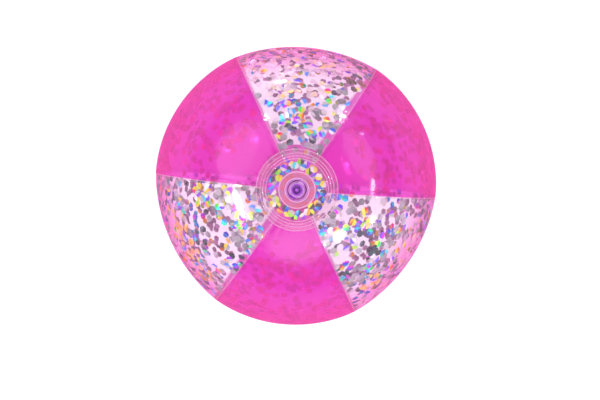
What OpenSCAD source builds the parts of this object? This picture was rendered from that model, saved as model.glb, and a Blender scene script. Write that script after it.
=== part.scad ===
// Inflatable beach ball: six welded gores, two polar discs, a pop-up valve and confetti dots inside.
// The origin is the ball's centre, +Z leaves the ball through the valve, and lengths are in millimetres.

/* [Ball] */
// Outer radius of the inflated ball
ball_r = 132; // [115:1:160]
// Thickness of the vinyl film
film_t = 0.3; // [0.2:0.05:0.5]
// Gap left at each weld between two layers of film
weld_gap = 0.1; // [0.05:0.05:0.2]

/* [Seams] */
// Width of the lap strips that the clear gores tuck under the pink ones
lap_w = 4; // [3:0.5:7]
// Width of the weld that joins a clear gore to its own lap strips
weld_w = 2; // [1:0.5:4]
// Radius round the axis at which the gores' tips end
tip_r = 25.8; // [24:0.2:28]

/* [Polar discs] */
// Outer radius of the disc that closes each pole
disc_r = 35.7; // [34:0.1:45]
// Radius of the hole that the valve sits in
disc_hole_r = 10.8; // [10.8:0.1:13]
// Radius of the innermost embossed weld ring
weld_ring_r = 27; // [26:0.1:28]
// Distance from one weld ring to the next
weld_ring_step = 2.4; // [2:0.1:2.8]
// Height of a weld ring above the disc
weld_ring_h = 0.25; // [0.15:0.05:0.4]

/* [Valve] */
// Outer radius of the flange welded under the upper disc
flange_r = 16.3; // [14:0.1:20]
// Thickness of the flange
flange_t = 0.6; // [0.5:0.1:1]
// Inner radius of the collar round the recess
recess_r = 9.9; // [9.6:0.1:10.1]
// Wall of the collar round the recess
collar_t = 0.8; // [0.5:0.1:0.8]
// Height of the stem
stem_h = 12; // [11:0.5:14]
// Outer radius of the stem
stem_r = 5.3; // [5.1:0.1:5.6]
// Radius of the lip round the stem's top
lip_r = 7.3; // [6.6:0.1:7.3]
// Radius of the stem's bore
bore_r = 4; // [3.6:0.1:4.2]
// Wall of the rolling cuff that joins the stem to the collar
cuff_t = 0.6; // [0.4:0.1:0.8]
// Thickness of the check flap under the bore
flap_t = 0.6; // [0.4:0.1:1]

/* [Plug] */
// Radius of the plug's head
head_r = 6; // [5.8:0.1:6.2]
// Thickness of the plug's head
head_t = 1.6; // [1.4:0.1:2]
// Radius of the dish in the plug's head
dish_r = 3.3; // [2.6:0.1:4.5]
// Length of the plug's shank
shank_h = 6; // [5:0.5:8]
// Clearance between the plug's shank and the bore
shank_clearance = 0.05; // [0.02:0.01:0.08]
// Width of the tether strap and of the lift tab opposite it
strap_w = 5; // [3:0.5:6]
// Thickness of the tether strap and of the lift tab
strap_t = 0.7; // [0.5:0.1:0.9]
// Compass angle of the tether strap, from +X towards +Y
strap_compass = 62; // [0:1:359]

/* [Confetti] */
// Width of a hexagonal dot across its flats
dot_w = 5.8; // [4:0.2:7]
// Thickness of a dot
dot_t = 0.1; // [0.05:0.05:0.2]
// Dots inside each gore
gore_dots = 22; // [6:1:26]
// Dots in the ring inside each polar disc
ring_dots = 16; // [8:1:18]

/* [Hidden] */

curve_fn = 96;
small_fn = 32;
gore_angle = 60;
bite = 0.01;

pink = [0.90, 0.33, 0.70, 0.75];
clear_film = [0.93, 0.92, 0.95, 0.35];
lilac = [0.68, 0.42, 0.74, 0.8];
violet = [0.42, 0.25, 0.62, 0.9];
holographic = [0.72, 0.72, 0.80];

// The welded layers, as radii from the ball's centre
film_inner_r = ball_r - film_t;
lap_outer_r = film_inner_r - weld_gap;
disc_inner_r = ball_r + weld_gap;
disc_outer_r = disc_inner_r + film_t;
flange_bead_h = 0.3;
flange_bead_w = 1.2;
dot_level_r = ball_r - 1.1;

// Heights along the valve's axis, with the valve pushed in
collar_top_z = disc_outer_r;
collar_bottom_z = ball_r - 1;
stem_top_z = collar_top_z - 2.4;
stem_bottom_z = stem_top_z - stem_h;
stem_base_r = stem_r + 0.9;
stem_base_h = 1.2;
stem_lip_h = 1;
foot_gap = 0.05;
cuff_top_z = collar_top_z - 0.6;
cuff_bottom_z = stem_bottom_z + (stem_base_h - cuff_t) / 2;
cuff_fillet_r = 1.6;
flap_r = bore_r + 0.7;
flap_gap = 0.1;
flap_top_z = stem_bottom_z - flap_gap;
flap_pin_r = 0.35;

strap_reach_r = 8.2;
strap_top_z = stem_top_z + 1;
strap_bottom_z = stem_top_z - 3.4;
strap_corner_r = 1.1;
tab_top_z = stem_top_z + 1.2;
dish_depth = 0.7;
pip_r = 1.5;
pip_h = 0.5;

golden_step = 0.618034;
polar_dot_limit = 0.86;
dot_side_margin = 9;
ring_dot_r = 21.4;
base_dot_r = 10;
base_inner_dots = 6;

// A thin arc of wall round the ball's centre, between two distances from the axis
module shell_profile(outer_r, wall, from_r, to_r, upper_only) {
    bottom_y = upper_only ? 0 : -outer_r - 1;
    intersection() {
        difference() {
            circle(r = outer_r, $fn = curve_fn);
            circle(r = outer_r - wall, $fn = curve_fn);
        }
        translate([from_r, bottom_y])
            square([to_r - from_r, outer_r + 1 - bottom_y]);
    }
}

// Height of a point of a sphere above its centre
function rise(sphere_r, axis_r) = sqrt(sphere_r * sphere_r - axis_r * axis_r);

// The film of one gore, from one seam to the next
module gore_film() {
    rotate_extrude(angle = gore_angle, $fn = curve_fn)
        shell_profile(ball_r, film_t, tip_r, ball_r + 1, false);
}

// A band of constant width beside a seam that lies over the X axis
module seam_band(outer_r, wall, from_y, to_y) {
    intersection() {
        difference() {
            rotate([0, 0, 180]) sphere(r = outer_r, $fn = curve_fn);
            rotate([0, 0, 180]) sphere(r = outer_r - wall, $fn = curve_fn);
        }
        translate([tip_r, from_y, -ball_r])
            cube([ball_r, to_y - from_y, 2 * ball_r]);
    }
}

// A lap strip on the far side of the seam, and the weld that joins it to the film on the near side
module gore_lap() {
    seam_band(lap_outer_r, film_t, -weld_w, lap_w);
    seam_band(film_inner_r + bite, weld_gap + 2 * bite, -weld_w, -bite);
}

module pink_gore(index) {
    color(pink)
        rotate([0, 0, index * gore_angle])
            gore_film();
}

module clear_gore(index) {
    color(clear_film)
        rotate([0, 0, index * gore_angle])
            union() {
                gore_film();
                rotate([0, 0, gore_angle]) gore_lap();
                mirror([0, 1, 0]) gore_lap();
            }
}

module polar_disc(hole_r) {
    rotate_extrude($fn = curve_fn)
        union() {
            shell_profile(disc_outer_r, film_t, hole_r, disc_r, true);
            for (i = [0 : 2])
                weld_ring_profile(weld_ring_r + i * weld_ring_step);
        }
}

module weld_ring_profile(ring_r) {
    ring_half_w = 0.4;
    shell_profile(disc_outer_r + weld_ring_h, film_t, ring_r - ring_half_w, ring_r + ring_half_w, true);
}

module valve_disc() {
    color(clear_film) polar_disc(disc_hole_r);
}

module base_disc() {
    color(pink) mirror([0, 0, 1]) polar_disc(0);
}

// The flange, its rim bead and the collar that rises through the disc
module valve_flange() {
    color(lilac)
        rotate_extrude($fn = curve_fn)
            union() {
                shell_profile(ball_r, flange_t, recess_r, flange_r, true);
                shell_profile(
                    ball_r - bite, flange_t + flange_bead_h, flange_r - flange_bead_w, flange_r, true
                );
                translate([recess_r, collar_bottom_z])
                    square([collar_t, collar_top_z - collar_bottom_z]);
            }
}

// Outline of the folded cuff's outside, as seen in a half section
module cuff_outline(inset) {
    bottom_z = cuff_bottom_z + inset;
    outer_r = recess_r - inset;
    fillet = cuff_fillet_r - inset;
    translate([0, bottom_z + fillet])
        square([outer_r, collar_top_z - bottom_z]);
    translate([0, bottom_z])
        square([outer_r - fillet, fillet + 1]);
    translate([outer_r - fillet, bottom_z + fillet])
        circle(r = fillet, $fn = small_fn);
}

// The rolling cuff: a cup that hangs from the collar and carries the stem's foot
module valve_cuff() {
    color(lilac)
        rotate_extrude($fn = curve_fn)
            difference() {
                cuff_outline(0);
                cuff_outline(cuff_t);
                square([stem_base_r + foot_gap, 2 * ball_r]);
                translate([0, cuff_top_z])
                    square([2 * recess_r, ball_r]);
            }
}

module valve_stem() {
    color(violet)
        translate([0, 0, stem_bottom_z])
            difference() {
                union() {
                    cylinder(r = stem_r, h = stem_h, $fn = curve_fn);
                    cylinder(r = stem_base_r, h = stem_base_h, $fn = curve_fn);
                    translate([0, 0, stem_h - stem_lip_h])
                        cylinder(r = lip_r, h = stem_lip_h, $fn = curve_fn);
                }
                translate([0, 0, -1])
                    cylinder(r = bore_r, h = stem_h + 2, $fn = curve_fn);
            }
}

// A disc under the bore, with a hinge bead along its edge
module check_flap() {
    color(lilac)
        translate([0, 0, flap_top_z - flap_t])
            union() {
                cylinder(r = flap_r, h = flap_t, $fn = curve_fn);
                translate([-flap_r, 0, flap_pin_r])
                    rotate([90, 0, 0])
                        cylinder(r = flap_pin_r, h = 3, center = true, $fn = small_fn);
            }
}

// The plug: a dished head with a pip and a lift tab, on a hollow shank
module valve_plug() {
    shank_r = bore_r - shank_clearance;
    shank_wall = 1;
    color(violet)
        difference() {
            union() {
                plug_head();
                lift_tab();
                translate([0, 0, stem_top_z - shank_h])
                    cylinder(r = shank_r, h = shank_h + bite, $fn = curve_fn);
            }
            translate([0, 0, stem_top_z - shank_h - 1])
                cylinder(r = shank_r - shank_wall, h = shank_h, $fn = curve_fn);
        }
}

module plug_head() {
    translate([0, 0, stem_top_z]) {
        difference() {
            cylinder(r = head_r, h = head_t, $fn = curve_fn);
            translate([0, 0, head_t - dish_depth])
                cylinder(r = dish_r, h = head_t, $fn = curve_fn);
        }
        cylinder(r = pip_r, h = head_t - dish_depth + pip_h, $fn = curve_fn);
    }
}

module lift_tab() {
    rotate([0, 0, strap_compass + 180])
        translate([dish_r + 1, -strap_w / 2, tab_top_z - strap_t])
            cube([strap_reach_r - dish_r - 1, strap_w, strap_t]);
}

// Outline of a rounded bar that starts at the axis, seen from the side
module bar_outline(reach, top, bottom, corner) {
    translate([0, bottom])
        square([reach - corner, top - bottom]);
    translate([0, bottom + corner])
        square([reach, top - bottom - 2 * corner]);
    for (z = [bottom + corner, top - corner])
        translate([reach - corner, z])
            circle(r = corner, $fn = small_fn);
}

// The tether strap, folded once: from under the plug's head, out into the groove and back to the stem
module plug_strap() {
    fold_clearance = 0.05;
    color(lilac)
        difference() {
            rotate([0, 0, strap_compass])
                rotate([90, 0, 0])
                    linear_extrude(height = strap_w, center = true)
                        difference() {
                            bar_outline(strap_reach_r, strap_top_z, strap_bottom_z, strap_corner_r);
                            bar_outline(
                                strap_reach_r - strap_t,
                                strap_top_z - strap_t,
                                strap_bottom_z + strap_t,
                                strap_corner_r - strap_t
                            );
                        }
            translate([0, 0, stem_top_z - fold_clearance])
                cylinder(r = head_r + fold_clearance, h = head_t + 1, $fn = curve_fn);
            translate([0, 0, stem_bottom_z])
                cylinder(r = stem_r + fold_clearance, h = stem_h, $fn = curve_fn);
        }
}

// One dot, lying flat under the film at a compass angle and an angle above the equator
module dot(compass, elevation, turn) {
    rotate([0, -elevation, compass])
        translate([dot_level_r, 0, 0])
            rotate([0, -90, 0])
                rotate([0, 0, turn])
                    linear_extrude(height = dot_t)
                        circle(d = dot_w / cos(30), $fn = 6);
}

// Dots spread evenly over one gore by the golden ratio
module gore_confetti(index) {
    spread = gore_angle - 2 * dot_side_margin;
    color(holographic)
        for (i = [0 : gore_dots - 1]) {
            height = polar_dot_limit * (2 * (i + 0.5) / gore_dots - 1);
            across = (i + 1) * golden_step + index * 0.37;
            fraction = across - floor(across);
            dot((index + 0.5) * gore_angle + spread * (fraction - 0.5), asin(height), i * 23);
        }
}

// A ring of dots round the axis, in the upper or the lower half
module dot_ring(ring_r, count, upper) {
    color(holographic)
        for (i = [0 : count - 1])
            dot(i * 360 / count, (upper ? 1 : -1) * acos(ring_r / dot_level_r), i * 17);
}

module confetti_valve_ring() {
    dot_ring(ring_dot_r, ring_dots, true);
}

module confetti_base() {
    dot_ring(ring_dot_r, ring_dots, false);
    dot_ring(base_dot_r, base_inner_dots, false);
}

pink_gore(0);  // gore_pink_1
clear_gore(1);  // gore_clear_1
pink_gore(2);  // gore_pink_2
clear_gore(3);  // gore_clear_2
pink_gore(4);  // gore_pink_3
clear_gore(5);  // gore_clear_3
valve_disc();
base_disc();
valve_flange();
valve_cuff();
valve_stem();
check_flap();
valve_plug();
plug_strap();
gore_confetti(0);  // confetti_gore_1
gore_confetti(1);  // confetti_gore_2
gore_confetti(2);  // confetti_gore_3
gore_confetti(3);  // confetti_gore_4
gore_confetti(4);  // confetti_gore_5
gore_confetti(5);  // confetti_gore_6
confetti_valve_ring();
confetti_base();
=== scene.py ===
import math
import random

import bmesh
import bpy
import numpy as np
from mathutils import Matrix, Vector, noise


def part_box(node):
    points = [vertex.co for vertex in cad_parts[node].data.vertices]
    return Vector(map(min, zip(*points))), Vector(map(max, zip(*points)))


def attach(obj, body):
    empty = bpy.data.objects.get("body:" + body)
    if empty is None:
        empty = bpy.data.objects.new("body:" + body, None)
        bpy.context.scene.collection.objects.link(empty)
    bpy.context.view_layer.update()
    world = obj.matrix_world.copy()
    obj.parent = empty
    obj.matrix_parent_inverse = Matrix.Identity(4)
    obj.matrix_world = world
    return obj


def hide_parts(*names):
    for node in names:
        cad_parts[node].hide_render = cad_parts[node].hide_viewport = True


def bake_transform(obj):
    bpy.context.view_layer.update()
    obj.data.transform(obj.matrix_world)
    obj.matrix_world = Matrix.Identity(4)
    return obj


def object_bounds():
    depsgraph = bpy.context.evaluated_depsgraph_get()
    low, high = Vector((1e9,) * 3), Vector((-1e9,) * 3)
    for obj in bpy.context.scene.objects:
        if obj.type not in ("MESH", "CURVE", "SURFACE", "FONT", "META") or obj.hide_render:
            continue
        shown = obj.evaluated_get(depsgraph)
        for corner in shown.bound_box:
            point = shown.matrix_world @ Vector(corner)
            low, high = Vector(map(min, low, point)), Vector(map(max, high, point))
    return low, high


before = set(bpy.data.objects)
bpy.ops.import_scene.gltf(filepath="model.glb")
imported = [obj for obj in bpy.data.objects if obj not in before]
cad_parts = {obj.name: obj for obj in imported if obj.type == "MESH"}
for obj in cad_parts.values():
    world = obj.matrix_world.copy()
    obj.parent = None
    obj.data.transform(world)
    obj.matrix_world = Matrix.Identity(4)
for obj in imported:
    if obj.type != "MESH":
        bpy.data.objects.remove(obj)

cad_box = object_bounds()
MM = 0.001

# An inflated beach ball, valve upwards: three pink and three clear film gores with loose confetti inside,
# a welded disc at each pole, and a valve whose stem pops up and whose plug lifts out.

# ---------------------------------------------------------------- sizes, in metres and degrees

BALL_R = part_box("gore_pink_1")[1].x
FLOOR_Z = cad_box[0].z
TIP_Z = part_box("gore_pink_1")[1].z
TIP_R = math.sqrt(BALL_R ** 2 - TIP_Z ** 2)
DISC_R = 35.7 * MM
DISC_HOLE_R = 10.8 * MM
DISC_START_R = 0.6 * MM
FILM = 0.3 * MM
WELD_GAP = 0.1 * MM
GORE_ANGLE = 60
GORE_NODES = ["gore_pink_1", "gore_clear_1", "gore_pink_2", "gore_clear_2", "gore_pink_3", "gore_clear_3"]

# Mesh fineness of the film
FILM_MERIDIANS = 288
GORE_LEVELS = 240
LAP_LEVELS = 160
DISC_SPOKES = 144
DISC_STEP = 0.6 * MM
DISC_FINE_STEP = 0.15 * MM
DISC_LAST_STEP = 0.2 * MM

# How the film hangs between its seams
CLEAR_FLATNESS = 0.0234
SEAM_DIP = 0.35 * MM
SEAM_DIP_REACH = 5 * MM
PUCKER = 0.14 * MM
PUCKER_REACH = 6 * MM
PUCKER_LENGTH = 9 * MM
PUCKER_PHASE_STEP = 1.7
PUCKER_EVENNESS = 0.6
DISC_RIPPLE = 0.12 * MM
DISC_RIPPLE_REACH = 5 * MM
DISC_RIPPLE_OUTSIDE = 2 * MM
DISC_RIPPLES = 34

# Welds
WELD_BAND = 1.1 * MM
WELD_SHOULDER = 0.3 * MM
WELD_RISE = 0.12 * MM
LAP_UNDER = 4 * MM
LAP_WELD = 2 * MM
RING_RADII = [27 * MM, 29.4 * MM, 31.8 * MM]
RING_RISE = 0.25 * MM
RING_HALF_W = 0.45 * MM
RIM_BEAD_W = 0.9 * MM
RIM_BEAD_RISE = 0.15 * MM

# Confetti dots: their make, how loosely they cling, and how they are spread
DOT_R = 3.4 * MM
DOT_T = 0.08 * MM
DOT_FOLDS = (4, 12, 22)
DOT_GAP = 0.12 * MM
DOT_PLAY = 0.6 * MM
DOT_TILTS = (1, 11)
DOT_SPACING = 2.7 * MM
CLEAR_GORE_DOTS = 590
PINK_GORE_DOTS = 300
CLEAR_SEAM_MARGIN = 1.6 * MM
PINK_SEAM_MARGIN = 3.9 * MM
CLEAR_HEIGHT_SHARE = 0.962
PINK_HEIGHT_SHARE = 0.87
DRIFT_SCALE = 38
FINE_DRIFT_SCALE = 90
DRIFT_BASE = 0.45
DRIFT_PULL = 0.8
PATCH_PULL = 0.25
VALVE_RING_DOTS = 40
VALVE_RING_FROM = 18.6 * MM
VALVE_RING_TO = 25.2 * MM
BASE_RING_DOTS = 30
BASE_RING_FROM = 14 * MM
BASE_RING_TO = 34 * MM
BASE_MIDDLE_DOTS = 8
BASE_MIDDLE_FROM = 3 * MM
BASE_MIDDLE_TO = 12 * MM
GORE_DOTS_SEED = 100
POLE_DOTS_SEED = 7


# ---------------------------------------------------------------- small helpers

def select_only(*pieces):
    bpy.ops.object.select_all(action="DESELECT")
    for piece in pieces:
        piece.select_set(True)
    bpy.context.view_layer.objects.active = pieces[0]


def start_piece(name):
    """Names the primitive that was just added and opens it in edit mode with everything selected."""
    piece = bpy.context.view_layer.objects.active
    piece.name = name
    piece.data.name = name
    select_only(piece)
    bpy.ops.object.transform_apply(location=True, rotation=True, scale=True)
    bpy.ops.object.mode_set(mode="EDIT")
    bpy.ops.mesh.select_all(action="SELECT")
    return piece


def close_piece(piece, smooth_angle=35):
    """Leaves edit mode with doubles merged, faces pointing outwards and smooth shading set."""
    bpy.ops.mesh.select_all(action="SELECT")
    bpy.ops.mesh.remove_doubles(threshold=0.002 * MM)
    bpy.ops.mesh.normals_make_consistent(inside=False)
    bpy.ops.object.mode_set(mode="OBJECT")
    select_only(piece)
    bpy.ops.object.shade_smooth_by_angle(angle=math.radians(smooth_angle))
    return piece


def copy_piece(piece, name):
    twin = piece.copy()
    twin.data = piece.data.copy()
    twin.name = name
    twin.data.name = name
    bpy.context.scene.collection.objects.link(twin)
    return twin


def remove_piece(piece):
    bpy.data.objects.remove(piece)


def apply_modifier(piece, kind, **settings):
    select_only(piece)
    modifier = piece.modifiers.new(kind.title(), kind)
    for key, value in settings.items():
        setattr(modifier, key, value)
    bpy.ops.object.modifier_apply(modifier=modifier.name)


def finish_piece(piece, material, body, node):
    """Gives a piece its material, hides the CAD node that it replaces and makes it ride on its body, where it
    has one.
    """
    piece.data.materials.clear()
    piece.data.materials.append(material)
    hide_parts(node)
    if body:
        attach(piece, body)


def direction(compass, from_top):
    """Unit vector at a compass angle and an angle from straight up, both in degrees."""
    turn_angle, tip_angle = math.radians(compass), math.radians(from_top)
    level = math.sin(tip_angle)
    return Vector((level * math.cos(turn_angle), level * math.sin(turn_angle), math.cos(tip_angle)))


def arc(centre_r, centre_z, radius, start, end, steps=6):
    """Points of a rounded corner in a turned profile, from one angle to another in degrees."""
    points = []
    for i in range(steps + 1):
        angle = math.radians(start + (end - start) * i / steps)
        points.append((centre_r + radius * math.cos(angle), centre_z + radius * math.sin(angle)))
    return points


def turn(name, profile_mm, closed, steps=96, smooth_angle=35):
    """A turned piece: one ring is extruded and resized along a profile of (radius, height) in millimetres."""
    profile = [(r * MM, z * MM) for r, z in profile_mm]
    first_r, first_z = profile[0]
    bpy.ops.object.select_all(action="DESELECT")
    bpy.ops.mesh.primitive_circle_add(vertices=steps, radius=first_r, location=(0, 0, first_z))
    piece = start_piece(name)
    for (r0, z0), (r1, z1) in zip(profile, profile[1:]):
        bpy.ops.mesh.extrude_region_move(TRANSFORM_OT_translate={"value": (0, 0, z1 - z0)})
        if abs(r1 - r0) > 1e-9:
            bpy.ops.transform.resize(value=(r1 / r0, r1 / r0, 1), center_override=(0, 0, 0))
    bpy.ops.mesh.select_all(action="DESELECT")
    bpy.ops.mesh.select_mode(type="EDGE")
    bpy.ops.mesh.select_non_manifold()
    if closed:
        bpy.ops.mesh.bridge_edge_loops()
    else:
        bpy.ops.mesh.fill_holes(sides=0)
    bpy.ops.mesh.select_mode(type="VERT")
    return close_piece(piece, smooth_angle)


# ---------------------------------------------------------------- the shape of the inflated film

def compass_and_colat(place):
    """Compass angle of a place in degrees, and its angle from +Z in radians."""
    compass = math.degrees(math.atan2(place.y, place.x)) % 360
    colat = math.acos(max(-1, min(1, place.z / place.length)))
    return compass, colat


def seam_distance(place):
    """Distance over the ball from a place to the nearest seam plane."""
    compass, colat = compass_and_colat(place)
    from_seam = min(compass % GORE_ANGLE, GORE_ANGLE - compass % GORE_ANGLE)
    return BALL_R * math.sin(colat) * math.sin(math.radians(from_seam))


def wall_radius(place):
    """Distance from the ball's centre to the outside of the film, in the direction of a place.
    Clear gores are a little flatter. Each seam puckers at its own phase, swelling and fading along it."""
    compass, colat = compass_and_colat(place)
    gore = int(compass // GORE_ANGLE) % len(GORE_NODES)
    seam = round(compass / GORE_ANGLE) % len(GORE_NODES)
    across = 2 * (compass % GORE_ANGLE) / GORE_ANGLE - 1
    girth = math.sin(colat)
    axis_r = BALL_R * girth
    radius = BALL_R
    if gore % 2 == 1:
        radius -= BALL_R * CLEAR_FLATNESS * (1 - across ** 2) * girth ** 1.5
    to_seam = seam_distance(place)
    near_seam = math.exp(-to_seam / SEAM_DIP_REACH) * girth
    wave = math.sin(2 * math.pi * BALL_R * colat / PUCKER_LENGTH + PUCKER_PHASE_STEP * seam)
    swell = noise.noise(Vector((seam * 3.1, colat * 6, 0)))
    pucker = PUCKER * wave * (PUCKER_EVENNESS + swell) * math.exp(-to_seam / PUCKER_REACH) * girth
    from_disc = abs(axis_r - DISC_R - DISC_RIPPLE_OUTSIDE)
    ripple = DISC_RIPPLE * math.exp(-from_disc / DISC_RIPPLE_REACH)
    ripple *= math.sin(math.radians(DISC_RIPPLES * compass) + 2 * noise.noise(Vector((compass * 0.05, 7, 0))))
    return radius - SEAM_DIP * near_seam + pucker + ripple


def drape(piece, offset):
    """Moves each vertex of a piece along its own direction onto the wall, plus an offset for that place."""
    for vertex in piece.data.vertices:
        place = vertex.co.copy()
        vertex.co = place.normalized() * (wall_radius(place) + offset(place))


def mark_weld_distance(piece, distance):
    """Stores each vertex's distance from the nearest weld, in millimetres, for the film's materials."""
    attribute = piece.data.attributes.new("weld_mm", "FLOAT", "POINT")
    for vertex, value in zip(piece.data.vertices, attribute.data):
        value.value = distance(vertex.co) / MM


def cut(co, no, clear_inner=False, clear_outer=False):
    """Cuts the whole open mesh along a plane; the inner side is the one that the normal points away from."""
    bpy.ops.mesh.select_all(action="SELECT")
    bpy.ops.mesh.bisect(plane_co=co, plane_no=no, clear_inner=clear_inner, clear_outer=clear_outer)


def gore_blank():
    """One gore cut from a fine sphere, with its edge bands cut in, between the compass angles 0 and 60."""
    bpy.ops.object.select_all(action="DESELECT")
    bpy.ops.mesh.primitive_uv_sphere_add(segments=FILM_MERIDIANS, ring_count=GORE_LEVELS, radius=BALL_R)
    blank = start_piece("gore_blank")
    side = math.radians(GORE_ANGLE)
    near = Vector((0, 1, 0))
    far = Vector((math.sin(side), -math.cos(side), 0))
    for inwards in (near, far):
        cut((0, 0, 0), inwards, clear_inner=True)
    cut((0, 0, TIP_Z), (0, 0, 1), clear_outer=True)
    cut((0, 0, -TIP_Z), (0, 0, 1), clear_inner=True)
    for inwards in (near, far):
        for reach in (WELD_BAND, WELD_BAND + WELD_SHOULDER):
            cut(inwards * reach, inwards)
    return close_piece(blank)


def lap_blank():
    """The strip of film under the seam at the compass angle 0, from its weld to the lap's far edge."""
    bpy.ops.object.select_all(action="DESELECT")
    bpy.ops.mesh.primitive_uv_sphere_add(segments=FILM_MERIDIANS, ring_count=LAP_LEVELS, radius=BALL_R)
    blank = start_piece("lap_blank")
    cut((TIP_R, 0, 0), (1, 0, 0), clear_inner=True)
    cut((0, -LAP_WELD, 0), (0, 1, 0), clear_inner=True)
    cut((0, LAP_UNDER, 0), (0, 1, 0), clear_outer=True)
    return close_piece(blank)


def gore_offset(place):
    """Rise of the welded band along a gore's edge."""
    return WELD_RISE if seam_distance(place) < WELD_BAND + 0.1 * MM else 0


def make_gore(blank, index, name):
    gore = copy_piece(blank, name)
    gore.data.transform(Matrix.Rotation(math.radians(index * GORE_ANGLE), 4, "Z"))
    mark_weld_distance(gore, seam_distance)
    drape(gore, gore_offset)
    apply_modifier(gore, "SOLIDIFY", thickness=FILM, offset=-1, use_even_offset=False)
    return gore


def make_lap(blank, seam, mirrored):
    """A lap strip tucked under the pink gore beside one seam."""
    lap = copy_piece(blank, "lap_strip")
    if mirrored:
        lap.data.transform(Matrix.Scale(-1, 4, (0, 1, 0)))
        lap.data.flip_normals()
    lap.data.transform(Matrix.Rotation(math.radians(seam * GORE_ANGLE), 4, "Z"))
    mark_weld_distance(lap, lambda place: LAP_UNDER)
    drape(lap, lambda place: -FILM - WELD_GAP)
    apply_modifier(lap, "SOLIDIFY", thickness=FILM, offset=-1, use_even_offset=False)
    return lap


def ring_distance(place):
    """Distance from the nearest embossed ring or the rim of a polar disc."""
    axis_r = math.hypot(place.x, place.y)
    return min(abs(axis_r - ring_r) for ring_r in (*RING_RADII, DISC_R - RING_HALF_W))


def ring_offset(place):
    """Height of the embossed weld rings and the rim's bead over a polar disc."""
    axis_r = math.hypot(place.x, place.y)
    rise = 0
    for ring_r in RING_RADII:
        across = abs(axis_r - ring_r) / RING_HALF_W
        if across < 1:
            rise = RING_RISE * math.sqrt(1 - across ** 2)
    edge = (DISC_R - axis_r) / RIM_BEAD_W
    if edge < 1:
        rise = max(rise, RIM_BEAD_RISE * math.sqrt(max(0, 1 - (2 * edge - 1) ** 2)))
    return rise


def make_disc(name, hole_r, upwards):
    """A polar disc: rings of film from the hole to the rim, draped over the gores' tips.
    A disc without a valve starts from a tiny hole, which is merged to a point."""
    radii = [hole_r]
    while radii[-1] < DISC_R - DISC_LAST_STEP:
        fine = radii[-1] > RING_RADII[0] - 2 * RING_HALF_W
        radii.append(radii[-1] + (DISC_FINE_STEP if fine else DISC_STEP))
    radii[-1] = DISC_R
    bpy.ops.object.select_all(action="DESELECT")
    bpy.ops.mesh.primitive_circle_add(vertices=DISC_SPOKES, radius=radii[0], location=(0, 0, TIP_Z))
    disc = start_piece(name)
    for inner, outer in zip(radii, radii[1:]):
        bpy.ops.mesh.extrude_region_move()
        bpy.ops.transform.resize(value=(outer / inner, outer / inner, 1), center_override=(0, 0, TIP_Z))
    if hole_r == DISC_START_R:
        bpy.ops.mesh.select_all(action="DESELECT")
        mesh = bmesh.from_edit_mesh(disc.data)
        for vertex in mesh.verts:
            vertex.select = math.hypot(vertex.co.x, vertex.co.y) < hole_r * 1.01
        mesh.select_flush_mode()
        bmesh.update_edit_mesh(disc.data)
        bpy.ops.mesh.merge(type="CENTER")
    bpy.ops.mesh.select_all(action="SELECT")
    bpy.ops.mesh.normals_make_consistent(inside=False)
    bpy.ops.object.mode_set(mode="OBJECT")
    select_only(disc)
    for vertex in disc.data.vertices:
        vertex.co.z = math.sqrt(BALL_R ** 2 - vertex.co.x ** 2 - vertex.co.y ** 2)
        if not upwards:
            vertex.co.z = -vertex.co.z
    if disc.data.polygons[-1].normal.z * (1 if upwards else -1) < 0:
        disc.data.flip_normals()
    mark_weld_distance(disc, ring_distance)
    drape(disc, lambda place: WELD_GAP + FILM + ring_offset(place))
    apply_modifier(disc, "SOLIDIFY", thickness=FILM, offset=-1, use_even_offset=False)
    select_only(disc)
    bpy.ops.object.shade_smooth_by_angle(angle=math.radians(50))
    return disc


# ---------------------------------------------------------------- materials

def new_material(name):
    material = bpy.data.materials.new(name)
    material.use_nodes = True
    material.node_tree.nodes.clear()
    return material


def add_node(tree, kind, inputs=None, **settings):
    node = tree.nodes.new(kind)
    for key, value in settings.items():
        setattr(node, key, value)
    for key, value in (inputs or {}).items():
        if isinstance(value, bpy.types.NodeSocket):
            tree.links.new(value, node.inputs[key])
        else:
            node.inputs[key].default_value = value
    return node


def maths(tree, operation, *values):
    return add_node(tree, "ShaderNodeMath", dict(enumerate(values)), operation=operation).outputs[0]


def ramp(tree, value, low, high, out_low=0, out_high=1):
    inputs = {"Value": value, "From Min": low, "From Max": high, "To Min": out_low, "To Max": out_high}
    return add_node(tree, "ShaderNodeMapRange", inputs, interpolation_type="SMOOTHSTEP").outputs[0]


def blend_value(tree, share, first, second):
    return maths(tree, "MULTIPLY_ADD", share, second - first, first)


def blend_colour(tree, share, first, second):
    node = add_node(tree, "ShaderNodeMix", {0: share}, data_type="RGBA")
    for index, value in ((6, first), (7, second)):
        if isinstance(value, bpy.types.NodeSocket):
            tree.links.new(value, node.inputs[index])
        else:
            node.inputs[index].default_value = (*value, 1)
    return node.outputs[2]


def blend_shader(tree, share, first, second):
    inputs = {0: share, 1: first.outputs[0], 2: second.outputs[0]}
    return add_node(tree, "ShaderNodeMixShader", inputs)


def set_surface(tree, shader):
    add_node(tree, "ShaderNodeOutputMaterial", {"Surface": shader.outputs[0]})


def object_noise(tree, scale, detail=2):
    place = add_node(tree, "ShaderNodeTexCoord").outputs["Object"]
    inputs = {"Vector": place, "Scale": scale, "Detail": detail}
    return add_node(tree, "ShaderNodeTexNoise", inputs).outputs["Fac"]


def glancing(tree):
    return add_node(tree, "ShaderNodeLayerWeight", {"Blend": 0.5}).outputs["Facing"]


def gloss_share(tree, straight, grazing):
    """Share of light that the film mirrors, from straight on to a glancing angle."""
    return maths(tree, "MULTIPLY_ADD", maths(tree, "POWER", glancing(tree), 5), grazing - straight, straight)


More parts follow.
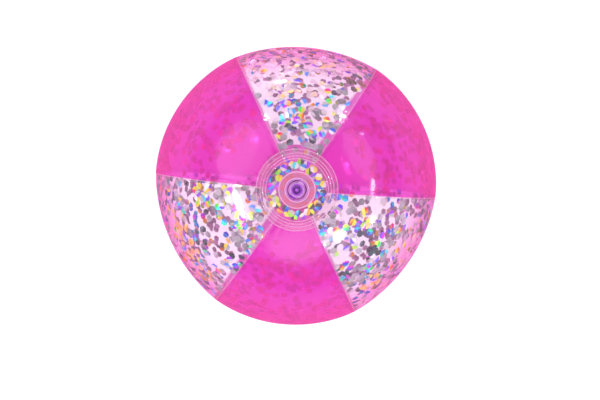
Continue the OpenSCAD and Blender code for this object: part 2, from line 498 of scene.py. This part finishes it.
def film_material(name, tint, rim_tint_and_painted_reflection, body_colour, cover, weld_w, weld_cover, weld_colour):
    """Vinyl film: tinted see-through, a share of milky body, its own colour at the welds, glossy outside.
    At glancing angles the see-through takes the rim tint; on the clear and disc films that pink is painted
    reflection of the pink gores.
    """
    material = new_material(name)
    tree = material.node_tree
    # Glancing share for the rim tint: redder on the pink film, a painted pink reflection on the clear and
    # disc films
    rim = ramp(tree, glancing(tree), 0.3, 0.85)
    seen_tint_and_painted_reflection = blend_colour(tree, rim, tint, rim_tint_and_painted_reflection)
    see_through = add_node(tree, "ShaderNodeBsdfTransparent", {"Color": seen_tint_and_painted_reflection})
    weld_mm = add_node(tree, "ShaderNodeAttribute", attribute_name="weld_mm").outputs["Fac"]
    weld = ramp(tree, weld_mm, weld_w - 0.2, weld_w + 0.2, 1, 0)
    mottle = ramp(tree, object_noise(tree, 60, 3), 0.3, 0.7, 0.92, 1.08)
    colour = blend_colour(tree, weld, body_colour, weld_colour)
    facing_light = add_node(tree, "ShaderNodeBsdfDiffuse", {"Color": colour})
    lit_through = add_node(tree, "ShaderNodeBsdfTranslucent", {"Color": colour})
    body = blend_shader(tree, 0.4, facing_light, lit_through)
    share = maths(tree, "MULTIPLY", mottle, blend_value(tree, weld, cover, weld_cover))
    film = blend_shader(tree, share, see_through, body)
    waves = object_noise(tree, 45, 2)
    bump = add_node(tree, "ShaderNodeBump", {"Strength": 0.06, "Distance": 0.001, "Height": waves})
    sharp = add_node(tree, "ShaderNodeBsdfAnisotropic", {"Roughness": 0.07, "Normal": bump.outputs[0]})
    soft = add_node(tree, "ShaderNodeBsdfAnisotropic", {"Roughness": 0.32, "Normal": bump.outputs[0]})
    gloss = blend_shader(tree, 0.4, sharp, soft)
    set_surface(tree, blend_shader(tree, gloss_share(tree, straight=0.045, grazing=0.09), film, gloss))
    return material


def vinyl_material(name, colour, deep_colour, cover, roughness, see_colour, painted_light_rings=()):
    """Soft moulded vinyl: cloudy, a little see-through and satin, with rings of painted light round its axis:
    paler rings are painted highlights on rounded edges, deeper rings are painted shade in grooves and
    hollows.
    Each ring is a radius from the axis and a half width, in millimetres, and a colour."""
    material = new_material(name)
    tree = material.node_tree
    cloud = ramp(tree, object_noise(tree, 220, 3), 0.35, 0.65)
    tone = blend_colour(tree, cloud, colour, deep_colour)
    place = add_node(tree, "ShaderNodeTexCoord").outputs["Object"]
    inputs = {0: place, 1: (1 / MM, 1 / MM, 0)}
    level = add_node(tree, "ShaderNodeVectorMath", inputs, operation="MULTIPLY").outputs[0]
    axis_mm = add_node(tree, "ShaderNodeVectorMath", {0: level}, operation="LENGTH").outputs["Value"]
    # Paler rings paint highlights on rounded edges; deeper rings paint shade in grooves and hollows
    for ring_r, half_w, painted_light_colour in painted_light_rings:
        off = maths(tree, "ABSOLUTE", maths(tree, "SUBTRACT", axis_mm, ring_r))
        tone = blend_colour(tree, ramp(tree, off, 0.6 * half_w, half_w, 1, 0), tone, painted_light_colour)
    grain = object_noise(tree, 900, 3)
    bump = add_node(tree, "ShaderNodeBump", {"Strength": 0.12, "Distance": 0.0004, "Height": grain})
    inputs = {"Base Color": tone, "Roughness": roughness, "Normal": bump.outputs[0]}
    solid = add_node(tree, "ShaderNodeBsdfPrincipled", inputs)
    solid.inputs["Coat Weight"].default_value = 0.25
    solid.inputs["Coat Roughness"].default_value = 0.12
    see_through = add_node(tree, "ShaderNodeBsdfTransparent", {"Color": (*see_colour, 1)})
    set_surface(tree, blend_shader(tree, cover, see_through, solid))
    return material


def confetti_material():
    """Metallised film whose rainbow runs across each dot, from the hue, saturation and value stored on it."""
    material = new_material("holographic_confetti")
    tree = material.node_tree
    stored = add_node(tree, "ShaderNodeAttribute", attribute_name="dot_hsv").outputs["Vector"]
    parts = add_node(tree, "ShaderNodeSeparateXYZ", {0: stored}).outputs
    hsv = {0: maths(tree, "FRACT", parts[0]), 1: parts[1], 2: parts[2]}
    colour = add_node(tree, "ShaderNodeCombineColor", hsv, mode="HSV").outputs[0]
    brushed = object_noise(tree, 1500, 2)
    roughness = ramp(tree, brushed, 0.3, 0.7, 0.28, 0.42)
    inputs = {"Base Color": colour, "Metallic": 0.5, "Roughness": roughness}
    set_surface(tree, add_node(tree, "ShaderNodeBsdfPrincipled", inputs))
    return material


# Colours of painted light on the valve: a pale lilac painted highlight and a mauve painted shade
PAINTED_HIGHLIGHT_LILAC = (0.92, 0.62, 0.90)
PAINTED_SHADE_MAUVE = (0.50, 0.14, 0.55)
PINK_FILM = film_material(
    "pink_film", tint=(0.95, 0.39, 0.86), rim_tint_and_painted_reflection=(0.97, 0.36, 0.71), body_colour=(0.80, 0.080, 0.64),
    cover=0.28, weld_w=0.6, weld_cover=0.45, weld_colour=(0.82, 0.07, 0.56),
)
# The clear film's pink rim tint is painted reflection of the pink gores inside
CLEAR_FILM = film_material(
    "clear_film", tint=(0.97, 0.925, 0.97), rim_tint_and_painted_reflection=(0.95, 0.58, 0.83), body_colour=(0.92, 0.76, 0.90),
    cover=0.03, weld_w=0.9, weld_cover=0.18, weld_colour=(0.95, 0.66, 0.86),
)
# The disc film's pink rim tint is painted reflection of the pink gores inside
DISC_FILM = film_material(
    "disc_film", tint=(0.985, 0.95, 0.965), rim_tint_and_painted_reflection=(0.97, 0.58, 0.82), body_colour=(0.98, 0.72, 0.88),
    cover=0.04, weld_w=0.4, weld_cover=0.28, weld_colour=(0.98, 0.72, 0.90),
)
# The flange's rim bead and collar lip get painted highlight rings
FLANGE_VINYL = vinyl_material(
    "clear_flange_vinyl", colour=(0.62, 0.27, 0.52), deep_colour=(0.80, 0.17, 0.22),
    cover=0.5, roughness=0.28, see_colour=(0.92, 0.80, 0.95),
    painted_light_rings=[(15.7, 0.6, (0.93, 0.62, 0.84)), (10.3, 0.5, PAINTED_HIGHLIGHT_LILAC)],
)
# The cuff's rolled fold gets a painted highlight ring, the creases either side painted shade rings
CUFF_VINYL = vinyl_material(
    "lilac_cuff_vinyl", colour=(0.80, 0.34, 0.88), deep_colour=(0.70, 0.24, 0.80),
    cover=0.5, roughness=0.28, see_colour=(0.95, 0.72, 0.97),
    painted_light_rings=[(9.6, 0.3, PAINTED_SHADE_MAUVE), (8.75, 0.4, PAINTED_HIGHLIGHT_LILAC), (7.9, 0.25, PAINTED_SHADE_MAUVE)],
)
# The stem's lip gets a painted highlight ring, the groove inside it a painted shade ring
STEM_VINYL = vinyl_material(
    "violet_stem_vinyl", colour=(0.60, 0.20, 0.74), deep_colour=(0.50, 0.13, 0.66),
    cover=0.75, roughness=0.25, see_colour=(0.85, 0.6, 0.92),
    painted_light_rings=[(7.1, 0.35, PAINTED_HIGHLIGHT_LILAC), (6.35, 0.3, PAINTED_SHADE_MAUVE)],
)
# The plug's pip, the line between its head's ridges and its rim get painted highlights; its dish gets painted
# shade
PLUG_VINYL = vinyl_material(
    "violet_plug_vinyl", colour=(0.27, 0.035, 0.42), deep_colour=(0.20, 0.02, 0.34),
    cover=0.94, roughness=0.22, see_colour=(0.6, 0.3, 0.8),
    painted_light_rings=[(0, 1.3, (0.36, 0.08, 0.56)), (2.5, 0.8, (0.10, 0.01, 0.22)), (4.85, 0.25, (0.45, 0.16, 0.66)),
           (5.9, 0.25, PAINTED_HIGHLIGHT_LILAC)],
)
CONFETTI = confetti_material()


# ---------------------------------------------------------------- gores, laps and discs

wedge = gore_blank()
strip = lap_blank()
for index, node in enumerate(GORE_NODES):
    kind, number = node.split("_")[1:]
    is_pink = kind == "pink"
    gore = make_gore(wedge, index, f"{kind}_film_gore_{number}")
    if not is_pink:
        laps = [make_lap(strip, index + 1, mirrored=False), make_lap(strip, index, mirrored=True)]
        select_only(gore, *laps)
        bpy.ops.object.join()
    select_only(gore)
    bpy.ops.object.shade_smooth_by_angle(angle=math.radians(40))
    finish_piece(
        gore, PINK_FILM if is_pink else CLEAR_FILM, "ball", node
    )
remove_piece(wedge)
remove_piece(strip)

upper_disc = make_disc("upper_disc_film", DISC_HOLE_R, upwards=True)
finish_piece(upper_disc, DISC_FILM, "ball", "valve_disc")
lower_disc = make_disc("lower_disc_film", DISC_START_R, upwards=False)
finish_piece(lower_disc, PINK_FILM, "ball", "base_disc")


# ---------------------------------------------------------------- valve, with its outlines in millimetres

# The strap and the lift tab are equally wide, and leave the plug on opposite sides
STRAP_W = 5 * MM
STRAP_COMPASS = 62


def make_flange():
    """The flange ring with its rounded rim bead and the collar that rises through the disc."""
    profile = [(9.9, 131.0), (9.9, 132.0)]
    profile += arc(10.3, 132.0, 0.4, 180, 0)
    profile += [(10.7, 131.55), (13.0, 131.3), (15.0, 131.05)]
    profile += arc(15.7, 130.75, 0.6, 120, -150, 10)
    profile += [(14.9, 130.55), (12.5, 130.75), (10.9, 130.8)]
    return turn("valve_flange_ring", profile, closed=True)


def make_cuff():
    """The cuff: rolled inwards under the collar and folded again, with a rounded floor at the stem's foot."""
    folds = ((131.2, 0), (130.8, 0.35), (130.3, 0.7), (129.8, 0.8), (129.3, 0.6), (128.7, 0.15), (128.0, 0),
             (127.2, 0.2), (126.4, 0.5), (125.6, 0.2), (124.6, 0), (122.4, 0.3), (120.8, 0))
    outer = [(9.85, 131.7)] + [(9.85 - inwards, z) for z, inwards in folds]
    inner = [(9.3, 131.7)] + [(9.3 - inwards, z) for z, inwards in folds]
    floor_outer = arc(8.25, 119.9, 1.6, 0, -90)
    floor_inner = arc(8.25, 119.9, 1.05, 0, -90)
    profile = outer + floor_outer + [(6.25, 118.3), (6.25, 118.85)]
    profile += list(reversed(floor_inner)) + list(reversed(inner))
    profile += arc(9.575, 131.7, 0.275, 180, 0, 4)[1:-1]
    return turn("valve_cuff_sleeve", profile, closed=True)


def make_stem():
    """The stem: a tube with a rounded lip round its top, a flared foot and two grip rings on its outside."""
    profile = [(4.0, 118.08), (4.0, 129.8), (4.2, 130.0), (6.3, 130.0), (6.5, 129.9)]
    profile += arc(6.9, 129.55, 0.4, 90, -90, 8)
    profile += [(6.2, 129.05), (5.5, 128.9), (5.3, 128.6)]
    for z in (126.0, 123.5):
        profile += [(5.3, z + 0.4), (5.42, z), (5.3, z - 0.4)]
    profile += [(5.3, 119.6), (5.6, 119.25), (6.1, 119.2), (6.2, 119.0), (6.2, 118.08)]
    return turn("valve_stem_tube", profile, closed=True)


def make_plug():
    """The plug: a pip in a dished head, on a hollow shank."""
    profile = [(0.4, 131.42), (0.9, 131.38)]
    profile += arc(1.0, 130.9, 0.45, 75, 0, 4)
    profile += [(1.5, 130.3), (1.8, 130.1), (2.7, 130.1)]
    profile += [(3.1, 130.3), (3.3, 130.8), (3.45, 131.3)]
    profile += arc(3.85, 131.2, 0.4, 150, 90, 3)
    profile += [(4.5, 131.6), (4.7, 131.45), (5.0, 131.42), (5.2, 131.55)]
    profile += arc(5.5, 131.1, 0.5, 80, 0, 5)
    profile += [(6.0, 130.4), (5.8, 130.05), (3.95, 130.02), (3.95, 124.4), (3.7, 124.0), (2.95, 124.0)]
    profile += [(2.95, 128.8), (0.4, 129.0)]
    return turn("valve_plug_cap", profile, closed=False)


def make_lift_tab():
    """The flat tongue that lifts the plug, opposite the strap."""
    length = 4.4 * MM
    thick = 0.7 * MM
    bpy.ops.object.select_all(action="DESELECT")
    centre = (6.0 * MM, 0, 130.85 * MM)
    bpy.ops.mesh.primitive_cube_add(size=1, location=centre, scale=(length, STRAP_W, thick))
    tab = start_piece("plug_lift_tab")
    bpy.ops.mesh.select_all(action="DESELECT")
    mesh = bmesh.from_edit_mesh(tab.data)
    for edge in mesh.edges:
        ends = [vertex.co for vertex in edge.verts]
        upright = abs(ends[0].x - ends[1].x) + abs(ends[0].y - ends[1].y) < 1e-6
        edge.select = upright and ends[0].x > 7 * MM
    mesh.select_flush_mode()
    bmesh.update_edit_mesh(tab.data)
    bpy.ops.mesh.bevel(offset=1.5 * MM, segments=6)
    bpy.ops.mesh.select_all(action="SELECT")
    bpy.ops.mesh.bevel(offset=0.15 * MM, segments=2)
    close_piece(tab)
    tab.data.transform(Matrix.Rotation(math.radians(STRAP_COMPASS + 180), 4, "Z"))
    return tab


def make_strap():
    """The tether strap: a band that leaves the plug's edge, folds down and joins the stem."""
    route = [(5.7, 130.65), (7.0, 130.65)]
    route += arc(7.1, 129.9, 0.75, 90, 0, 5)
    route += [(7.85, 128.0)]
    route += arc(7.1, 127.75, 0.75, 0, -90, 5)
    route += [(6.2, 127.0), (5.35, 127.0)]
    first_r, first_z = route[0]
    bpy.ops.object.select_all(action="DESELECT")
    bpy.ops.mesh.primitive_plane_add(size=1, location=(first_r * MM, 0, first_z * MM))
    strap = start_piece("plug_tether_strap")
    bpy.ops.transform.resize(value=(0, STRAP_W, 0), center_override=(first_r * MM, 0, first_z * MM))
    bpy.ops.mesh.remove_doubles(threshold=0.01 * MM)
    for (r0, z0), (r1, z1) in zip(route, route[1:]):
        step = ((r1 - r0) * MM, 0, (z1 - z0) * MM)
        bpy.ops.mesh.extrude_region_move(TRANSFORM_OT_translate={"value": step})
    bpy.ops.mesh.select_all(action="SELECT")
    bpy.ops.mesh.subdivide(number_cuts=2)
    bpy.ops.mesh.normals_make_consistent(inside=False)
    bpy.ops.object.mode_set(mode="OBJECT")
    apply_modifier(strap, "SOLIDIFY", thickness=0.6 * MM, offset=0)
    apply_modifier(strap, "BEVEL", width=0.12 * MM, segments=2)
    strap.data.transform(Matrix.Rotation(math.radians(STRAP_COMPASS), 4, "Z"))
    select_only(strap)
    bpy.ops.object.shade_smooth_by_angle(angle=math.radians(40))
    return strap


finish_piece(make_flange(), FLANGE_VINYL, "ball", "valve_flange")
finish_piece(make_stem(), STEM_VINYL, "stem", "valve_stem")
plug = make_plug()
tab = make_lift_tab()
select_only(plug, tab)
bpy.ops.object.join()
finish_piece(plug, PLUG_VINYL, "plug", "valve_plug")
cuff = make_cuff()
finish_piece(cuff, CUFF_VINYL, None, "valve_cuff")
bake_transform(cuff)
strap = make_strap()
finish_piece(strap, STEM_VINYL, None, "plug_strap")
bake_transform(strap)
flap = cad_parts["check_flap"]
flap.data.materials.clear()
flap.data.materials.append(CUFF_VINYL)


# ---------------------------------------------------------------- confetti

# Patches where dots of one look gather: compass angle, angle from +Z, reach and look; the first match holds
PATCHES = [
    # Dark patches: painted dark reflection, near-black colour for metallised dots that mirror the dim room
    (346, 42, 10 * MM, "painted_dark_reflection"), (327, 33, 9 * MM, "painted_dark_reflection"), (325, 43, 8 * MM, "painted_dark_reflection"),
    (303, 41, 9 * MM, "painted_dark_reflection"), (214, 50, 10 * MM, "painted_dark_reflection"), (236, 40, 9 * MM, "painted_dark_reflection"),
    (66, 54, 12 * MM, "rust"),
    (203, 60, 14 * MM, "gold"), (216, 60, 14 * MM, "gold"), (229, 63, 12 * MM, "gold"),
    (312, 58, 12 * MM, "gold"),
    (98, 33, 14 * MM, "vivid"), (190, 40, 12 * MM, "vivid"), (320, 24, 9 * MM, "vivid"),
    (340, 30, 10 * MM, "vivid"), (215, 25, 9 * MM, "vivid"), (80, 24, 9 * MM, "vivid"),
    (95, 62, 56 * MM, "pale"), (95, 38, 22 * MM, "pale"), (335, 72, 24 * MM, "pale"),
    (310, 76, 20 * MM, "pale"), (215, 72, 26 * MM, "pale"),
]
HUES = {"violet": 0.71, "blue": 0.61, "cyan": 0.51, "lime": 0.24, "yellow": 0.155, "orange": 0.09}
# Each hue as often as it should turn up among the vivid dots
VIVID_MIX = ["violet"] * 3 + ["blue"] * 2 + ["cyan"] + ["yellow"] * 2 + ["lime", "orange"]


def dot_blank(fold_angle):
    """A hexagonal dot folded a little across its corners."""
    bpy.ops.object.select_all(action="DESELECT")
    bpy.ops.mesh.primitive_circle_add(vertices=6, radius=DOT_R, fill_type="NGON")
    blank = start_piece("dot_blank")
    mesh = bmesh.from_edit_mesh(blank.data)
    bpy.ops.mesh.select_all(action="DESELECT")
    for vertex in mesh.verts:
        vertex.select = abs(vertex.co.x) < 0.01 * MM
    mesh.select_flush_mode()
    bmesh.update_edit_mesh(blank.data)
    bpy.ops.mesh.vert_connect()
    bpy.ops.mesh.select_all(action="DESELECT")
    mesh = bmesh.from_edit_mesh(blank.data)
    for vertex in mesh.verts:
        vertex.select = vertex.co.x > 0.01 * MM
    bmesh.update_edit_mesh(blank.data)
    bpy.ops.transform.rotate(value=math.radians(fold_angle), orient_axis="Y", center_override=(0, 0, 0))
    close_piece(blank)
    apply_modifier(blank, "SOLIDIFY", thickness=DOT_T, offset=0)
    return blank


def dot_shape(fold_angle):
    """Vertices, faces and face-corner data of one folded dot, ready to be copied."""
    blank = dot_blank(fold_angle)
    mesh = blank.data
    points = np.array([vertex.co[:] for vertex in mesh.vertices])
    faces = [tuple(face.vertices) for face in mesh.polygons]
    corners = [index for face in faces for index in face]
    sides = [1 if mesh.polygons[i].center.x > 0 else 0 for i, face in enumerate(faces) for _ in face]
    across = points[corners] / DOT_R
    remove_piece(blank)
    return points, faces, across, np.array(sides)


def patch_look(place):
    """Look of the patch that a place lies in, or None."""
    for compass, from_top, reach, look in PATCHES:
        if (place.normalized() - direction(compass, from_top)).length * BALL_R < reach:
            return look
    return None


def dot_colours(rng, look):
    """Hue, its run across the dot, saturation and value for the two halves of a dot.
    Each look gives most of its dots its own colours; the rest turn out grey and vivid, and a few near black
    as painted reflection of the dim room."""
    chance = rng.random()
    # Painted dark reflection: most dots in a dark patch are coloured near black
    if look == "painted_dark_reflection" and chance < 0.6:
        half = (rng.choice([0.64, 0.72, 0.78, 0.5]), 0.0, 0.7, rng.uniform(0.02, 0.16))
        return half, half if chance < 0.5 else (rng.random(), 0.2, 0.9, 0.8)
    if look == "rust" and chance < 0.8:
        return (0.02, 0.02, 0.8, rng.uniform(0.05, 0.35)), (0.97, 0.05, 0.7, rng.uniform(0.1, 0.4))
    # Dots under the pink gores: painted pink light, coloured rose in place of their own colours
    if look == "rose":
        rose = (rng.uniform(0.90, 0.94), 0.02, 0.9, rng.uniform(0.75, 1.0))
        return rose, (rose[0], 0.02, 0.9, rose[3] * rng.uniform(0.85, 1.0))
    if look == "pale" and chance < 0.78:
        grey = rng.uniform(0.7, 1.0)
        return (rng.choice([0.1, 0.85]), 0.1, 0.15, grey), (0.9, 0.1, 0.15, grey * rng.uniform(0.8, 1.0))
    if look == "pale" and chance < 0.92:
        return (0.13, 0.03, rng.uniform(0.3, 0.8), 1.0), (0.05, 0.05, 0.3, 1.0)
    if look == "gold" and chance < 0.75:
        return (0.12, 0.04, 0.85, 1.0), (0.08, 0.04, rng.uniform(0.5, 0.95), rng.uniform(0.6, 1.0))
    if look == "ring" and chance < 0.12:
        return (0.55, 0.05, 0.02, 1.0), (0.16, 0.03, rng.uniform(0.8, 1.0), 1.0)
    if look == "ring" and chance < 0.4:
        return (0.72, 0.1, 0.6, 0.12), (rng.choice([0.16, 0.25, 0.62]), 0.1, 1.0, 0.9)
    if look not in ("vivid", "ring") and chance < 0.6:
        grey = rng.uniform(0.28, 0.66)
        return (0.8, 0.1, 0.1, grey), (rng.random(), 0.1, 0.12, grey * rng.uniform(0.7, 1.0))
    # A few near-black dots: painted dark reflection of the dim room
    if look not in ("vivid", "ring") and chance < 0.65:
        return (0.7, 0.0, 0.3, 0.08), (0.6, 0.1, 0.4, 0.25)
    hue = rng.choice(VIVID_MIX)
    vivid = (HUES[hue] + rng.uniform(-0.03, 0.03), rng.uniform(-0.08, 0.08), rng.uniform(0.88, 1.0), 1.0)
    if rng.random() < 0.5:
        return vivid, (rng.random(), 0.15, rng.uniform(0.0, 0.2), rng.uniform(0.5, 1.0))
    return vivid, (vivid[0] + rng.choice([-0.14, 0.14]), 0.12, 1.0, 1.0)


def lay_dots(name, rng, places, shapes, looks=None):
    """One piece of confetti: a folded dot at each place, clinging to the inside of the film."""
    points, faces, values = [], [], []
    count = 0
    for index, place in enumerate(places):
        dot_points, dot_faces, across, sides = rng.choice(shapes)
        tilt = math.radians(rng.uniform(*DOT_TILTS))
        outwards = place.normalized()
        stand = outwards.to_track_quat("Z", "Y").to_matrix()
        lean = Matrix.Rotation(tilt, 3, Vector((math.cos(index), math.sin(index), 0)))
        spin = Matrix.Rotation(rng.uniform(0, 2 * math.pi), 3, "Z")
        turned = dot_points @ np.array(stand @ lean @ spin).T
        depth = FILM + DOT_GAP + (turned @ np.array(outwards)).max() + rng.uniform(0, DOT_PLAY)
        if seam_distance(place) < LAP_UNDER + DOT_R:
            depth += FILM + WELD_GAP + SEAM_DIP
        points.append(turned + np.array(outwards * (wall_radius(place) - depth)))
        faces += [tuple(corner + count for corner in face) for face in dot_faces]
        count += len(dot_points)
        look = looks if looks else patch_look(place)
        halves = np.array(dot_colours(rng, look))[sides]
        heading = rng.uniform(0, 2 * math.pi)
        run = across[:, 0] * math.cos(heading) + across[:, 1] * math.sin(heading)
        values.append(np.stack([halves[:, 0] + halves[:, 1] * run + 2, halves[:, 2], halves[:, 3]], axis=1))
    mesh = bpy.data.meshes.new(name)
    mesh.from_pydata(np.concatenate(points).tolist(), [], faces)
    stored = mesh.attributes.new("dot_hsv", "FLOAT_VECTOR", "CORNER")
    stored.data.foreach_set("vector", np.concatenate(values).astype(np.float32).ravel())
    piece = bpy.data.objects.new(name, mesh)
    bpy.context.scene.collection.objects.link(piece)
    return piece


def scatter(rng, count, start, height_share, seam_margin):
    """Places over the gore that starts at a compass angle, gathered in drifts and never one right on another.
    The height share is how near to the poles they come, as a share of the ball's radius."""
    places = []
    while len(places) < count:
        height = rng.uniform(-height_share, height_share)
        level = math.sqrt(1 - height ** 2)
        margin = math.degrees(seam_margin / (BALL_R * level))
        compass = math.radians(rng.uniform(start + margin, start + GORE_ANGLE - margin))
        place = Vector((level * math.cos(compass), level * math.sin(compass), height)) * BALL_R
        drift = noise.noise(place * DRIFT_SCALE) + 0.5 * noise.noise(place * FINE_DRIFT_SCALE)
        drift += PATCH_PULL if patch_look(place) else 0
        if rng.random() > DRIFT_BASE + DRIFT_PULL * drift:
            continue
        if any((place - other).length < DOT_SPACING for other in places):
            continue
        places.append(place)
    return places


def ring_places(rng, count, from_r, to_r, upwards):
    """Places round the axis, by turns nearer to it and further from it."""
    places = []
    middle = (from_r + to_r) / 2
    for i in range(count):
        axis_r = rng.uniform(from_r, middle) if i % 2 else rng.uniform(middle, to_r)
        compass = 2 * math.pi * (i + rng.uniform(-0.3, 0.3)) / count
        height = math.sqrt(BALL_R ** 2 - axis_r ** 2) * (1 if upwards else -1)
        places.append(Vector((axis_r * math.cos(compass), axis_r * math.sin(compass), height)))
    return places


shapes = [dot_shape(fold) for fold in DOT_FOLDS]
for index, node in enumerate(GORE_NODES):
    rng = random.Random(GORE_DOTS_SEED + index)
    start = index * GORE_ANGLE
    # Only pink light reaches the dots under a pink gore, so they are coloured rose: painted pink light in
    # place of their own holographic colours
    if "pink" in node:
        look = "rose"
        places = scatter(rng, PINK_GORE_DOTS, start, PINK_HEIGHT_SHARE, PINK_SEAM_MARGIN)
    else:
        look = None
        places = scatter(rng, CLEAR_GORE_DOTS, start, CLEAR_HEIGHT_SHARE, CLEAR_SEAM_MARGIN)
    dots = lay_dots(f"gore_{index + 1}_dots", rng, places, shapes, look)
    finish_piece(dots, CONFETTI, "ball", f"confetti_gore_{index + 1}")

rng = random.Random(POLE_DOTS_SEED)
places = ring_places(rng, VALVE_RING_DOTS, VALVE_RING_FROM, VALVE_RING_TO, upwards=True)
ring = lay_dots("valve_ring_dots", rng, places, shapes, looks="ring")
finish_piece(ring, CONFETTI, "ball", "confetti_valve_ring")
places = ring_places(rng, BASE_RING_DOTS, BASE_RING_FROM, BASE_RING_TO, upwards=False)
places += ring_places(rng, BASE_MIDDLE_DOTS, BASE_MIDDLE_FROM, BASE_MIDDLE_TO, upwards=False)
base = lay_dots("base_dots", rng, places, shapes)
finish_piece(base, CONFETTI, "ball", "confetti_base")


# ---------------------------------------------------------------- floor, light and camera

# Compass angles that the camera has upwards and to its right
CAMERA_UP = 95
CAMERA_RIGHT = CAMERA_UP - 90
CAMERA_DISTANCE = 1.499
LAMP_DISTANCE = 1.6


def make_floor():
    bpy.ops.object.select_all(action="DESELECT")
    bpy.ops.mesh.primitive_plane_add(size=8, location=(0, 0, FLOOR_Z))
    floor = bpy.context.view_layer.objects.active
    floor.name = "studio_floor"
    material = new_material("pale_floor")
    tree = material.node_tree
    paint = add_node(tree, "ShaderNodeBsdfDiffuse", {"Color": (0.45, 0.45, 0.45, 1)})
    glow = add_node(tree, "ShaderNodeEmission", {"Color": (1, 1, 1, 1), "Strength": 0.75})
    inputs = {0: paint.outputs[0], 1: glow.outputs[0]}
    set_surface(tree, add_node(tree, "ShaderNodeAddShader", inputs))
    floor.data.materials.append(material)


def make_world():
    """White backdrop for the camera, and a dimmer room for everything that lights or mirrors."""
    world = bpy.data.worlds.new("studio")
    bpy.context.scene.world = world
    world.use_nodes = True
    tree = world.node_tree
    tree.nodes.clear()
    room = add_node(tree, "ShaderNodeBackground", {"Color": (1, 1, 1, 1), "Strength": 0.61})
    backdrop = add_node(tree, "ShaderNodeBackground", {"Color": (1, 1, 1, 1), "Strength": 1.05})
    seen = add_node(tree, "ShaderNodeLightPath").outputs["Is Camera Ray"]
    shader = blend_shader(tree, seen, room, backdrop)
    add_node(tree, "ShaderNodeOutputWorld", {"Surface": shader.outputs[0]})


def add_softbox(name, compass, from_top, width, height, radiance):
    """An oval lamp that faces the ball, at a compass angle and an angle from straight up."""
    outwards = direction(compass, from_top)
    lamp = bpy.data.lights.new(name, "AREA")
    lamp.shape = "ELLIPSE"
    lamp.size = width
    lamp.size_y = height
    lamp.energy = radiance * math.pi * width * height * math.pi / 4
    holder = bpy.data.objects.new(name, lamp)
    bpy.context.scene.collection.objects.link(holder)
    holder.location = outwards * LAMP_DISTANCE
    holder.rotation_euler = outwards.to_track_quat("Z", "Y").to_euler()
    holder.visible_camera = False


def light_ball():
    """Each softbox: name, angle anticlockwise from the camera's right, angle from straight up, width, height
    and radiance."""
    boxes = [
        ("right_strip", 0, 61, 0.30, 0.08, 26), ("right_small", 38, 68, 0.06, 0.06, 16),
        ("left_broad", 150, 54, 0.75, 0.45, 0.6), ("left_broader", 150, 54, 1.15, 0.85, 0.8),
        ("left_broadest", 146, 50, 1.40, 1.40, 1.2), ("front_soft", -88.6, 46, 0.80, 0.45, 1.2),
        ("front_softer", -88.6, 46, 1.15, 0.70, 1.2), ("front_softest", -88.6, 45, 1.50, 1.00, 1.3),
        ("right_haze", 27, 57, 0.75, 0.38, 1.5), ("right_broad", 27, 57, 1.10, 0.62, 1.3),
        ("back_low", 96, 95, 0.18, 0.17, 55), ("back_left", 109.6, 60, 0.13, 0.14, 55),
        ("back_right", 60, 69, 0.15, 0.20, 55), ("left_front", -161, 49, 0.50, 0.15, 45),
        ("right_front", -47, 53, 0.19, 0.23, 55), ("right_side", -26.6, 70, 0.12, 0.13, 55),
        ("front_low", -52.5, 105, 0.12, 0.17, 55),
    ]
    for name, angle, from_top, width, height, radiance in boxes:
        add_softbox(name, angle + CAMERA_RIGHT, from_top, width, height, radiance)


def make_camera():
    """The camera looks down on the valve, a little off the ball's axis."""
    camera = bpy.data.cameras.new("camera")
    holder = bpy.data.objects.new("camera", camera)
    bpy.context.scene.collection.objects.link(holder)
    back = direction(compass=108.3, from_top=2.26)
    right = direction(CAMERA_UP, 90).cross(back).normalized()
    upright = back.cross(right)
    holder.rotation_euler = Matrix((right, upright, back)).transposed().to_euler()
    holder.location = back * CAMERA_DISTANCE
    camera.lens = 95.5
    camera.sensor_width = 36
    camera.shift_x = 0.0073
    camera.shift_y = -0.0264
    camera.clip_end = 50
    bpy.context.scene.camera = holder


make_floor()
make_world()
light_ball()
make_camera()
scene = bpy.context.scene
scene.view_settings.view_transform = "Standard"
scene.cycles.transparent_max_bounces = 32
scene.cycles.max_bounces = 10
